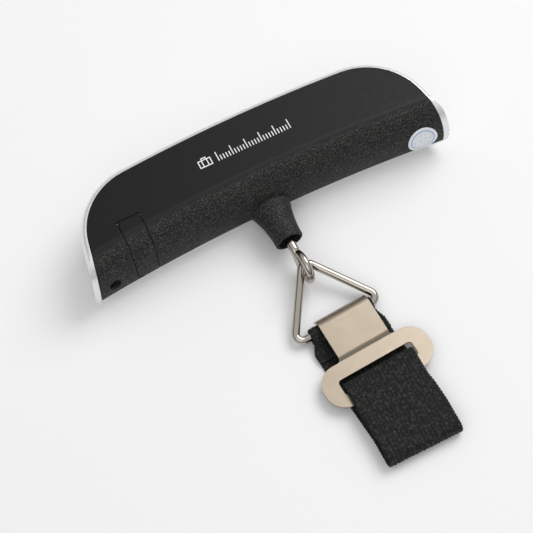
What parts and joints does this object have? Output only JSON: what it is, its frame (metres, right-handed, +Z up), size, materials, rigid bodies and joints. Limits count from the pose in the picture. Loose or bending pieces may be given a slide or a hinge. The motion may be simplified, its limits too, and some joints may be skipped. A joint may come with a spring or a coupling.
{
  "type": "digital luggage scale",
  "caption": "Handheld hanging scale: half-moon plastic grip with a display, a load-cell hook, a wire triangle ring, and a hook-on webbing strap with a bent metal buckle.",
  "frame": {"origin": "centre of the footprint, on the surface that the scale lies on", "axes": "+Z up through the plain back of the body, +X along the half-moon body towards the round sticker, +Y from the strap towards the arched side"},
  "size_m": [0.1588, 0.153, 0.028],
  "materials": {
    "silver_casing": "silver paint on plastic, satin",
    "black_casing": "black ABS, satin back and fine spark-eroded shoulder",
    "clear_window": "clear acrylic, polished",
    "display_glass": "grey-green reflective display",
    "light_guide": "milky white",
    "dark_rubber": "matt",
    "board": "green solder mask",
    "steel": "zinc plated",
    "aluminium_beam": "milled",
    "brass_foil": "bright",
    "nylon": "moulded",
    "nickel_wire": "bright nickel plate",
    "nickel_plate": "warm nickel plate",
    "webbing": "coarse woven polypropylene",
    "sticker": "coated paper, satin",
    "wire_red": "PVC",
    "wire_white": "PVC",
    "wire_green": "PVC",
    "wire_black": "PVC"
  },
  "bodies": {
    "scale_body": {"front_shell": "silver_casing", "rear_shell": "black_casing", "door_hinge_pin": "steel", "round_sticker": "sticker", "case_screw_left": "steel", "case_screw_right": "steel", "beam_screw_left": "steel", "beam_screw_right": "steel", "board_screw_left": "steel", "board_screw_right": "steel", "display_window": "clear_window", "lcd_module": "display_glass", "backlight_panel": "light_guide", "contact_strip": "dark_rubber", "circuit_board": "board", "controller_chip": "dark_rubber", "tact_switch_power": "steel", "tact_switch_unit": "steel", "load_cell_beam": "aluminium_beam", "strain_gauge": "brass_foil", "sensor_wire_red": "wire_red", "sensor_wire_white": "wire_white", "sensor_wire_green": "wire_green", "sensor_wire_black": "wire_black", "battery_lead_positive": "wire_red", "battery_lead_negative": "wire_black", "coin_cell": "steel", "battery_cradle": "nylon", "contact_positive": "brass_foil", "contact_negative": "brass_foil", "nozzle_bush": "nylon"},
    "door": {"battery_door": "black_casing"},
    "power_button": {"button_power": "silver_casing"},
    "unit_button": {"button_unit": "silver_casing"},
    "hook": {"eye_hook": "nickel_wire", "hook_washer": "steel", "hook_nut": "steel"},
    "ring": {"triangle_ring": "nickel_wire"},
    "strap": {"strap_lower": "webbing"},
    "strap_end": {"strap_upper": "webbing"},
    "buckle": {"buckle": "nickel_plate"}
  },
  "joints": [
    {"name": "door_hinge", "type": "hinge", "parent": "scale_body", "child": "door", "pos_m": [-0.05535, 0.05315, 0.0271], "axis": [-1, 0, 0], "range_deg": [0, 65]},
    {"name": "power_press", "type": "slide", "parent": "scale_body", "child": "power_button", "axis": [0, 0, 1], "range_m": [0, 0.0005], "stiffness_N_per_m": 600},
    {"name": "unit_press", "type": "slide", "parent": "scale_body", "child": "unit_button", "axis": [0, 0, 1], "range_m": [0, 0.0005], "stiffness_N_per_m": 600},
    {"name": "hook_swivel", "type": "hinge", "parent": "scale_body", "child": "hook", "pos_m": [0, 0.01035, 0.01], "axis": [0, 1, 0], "continuous": true},
    {"name": "ring_swing", "type": "hinge", "parent": "hook", "child": "ring", "pos_m": [0.0009, 0.01155, 0.0085], "axis": [-0.9981, -0.061, 0], "range_deg": [-40, 50]},
    {"name": "strap_pivot", "type": "hinge", "parent": "ring", "child": "strap", "pos_m": [0.00247, -0.01405, 0.00315], "axis": [-0.9981, -0.061, 0], "range_deg": [-40, 50]},
    {"name": "strap_open", "type": "hinge", "parent": "strap", "child": "strap_end", "pos_m": [0.0074, -0.07305, 0.0035], "axis": [1, 0, 0], "range_deg": [0, 160]},
    {"name": "buckle_tilt", "type": "hinge", "parent": "strap_end", "child": "buckle", "pos_m": [0.00687, -0.04504, 0.0046], "axis": [0.9981, 0.061, 0], "range_deg": [0, 20]}
  ]
}
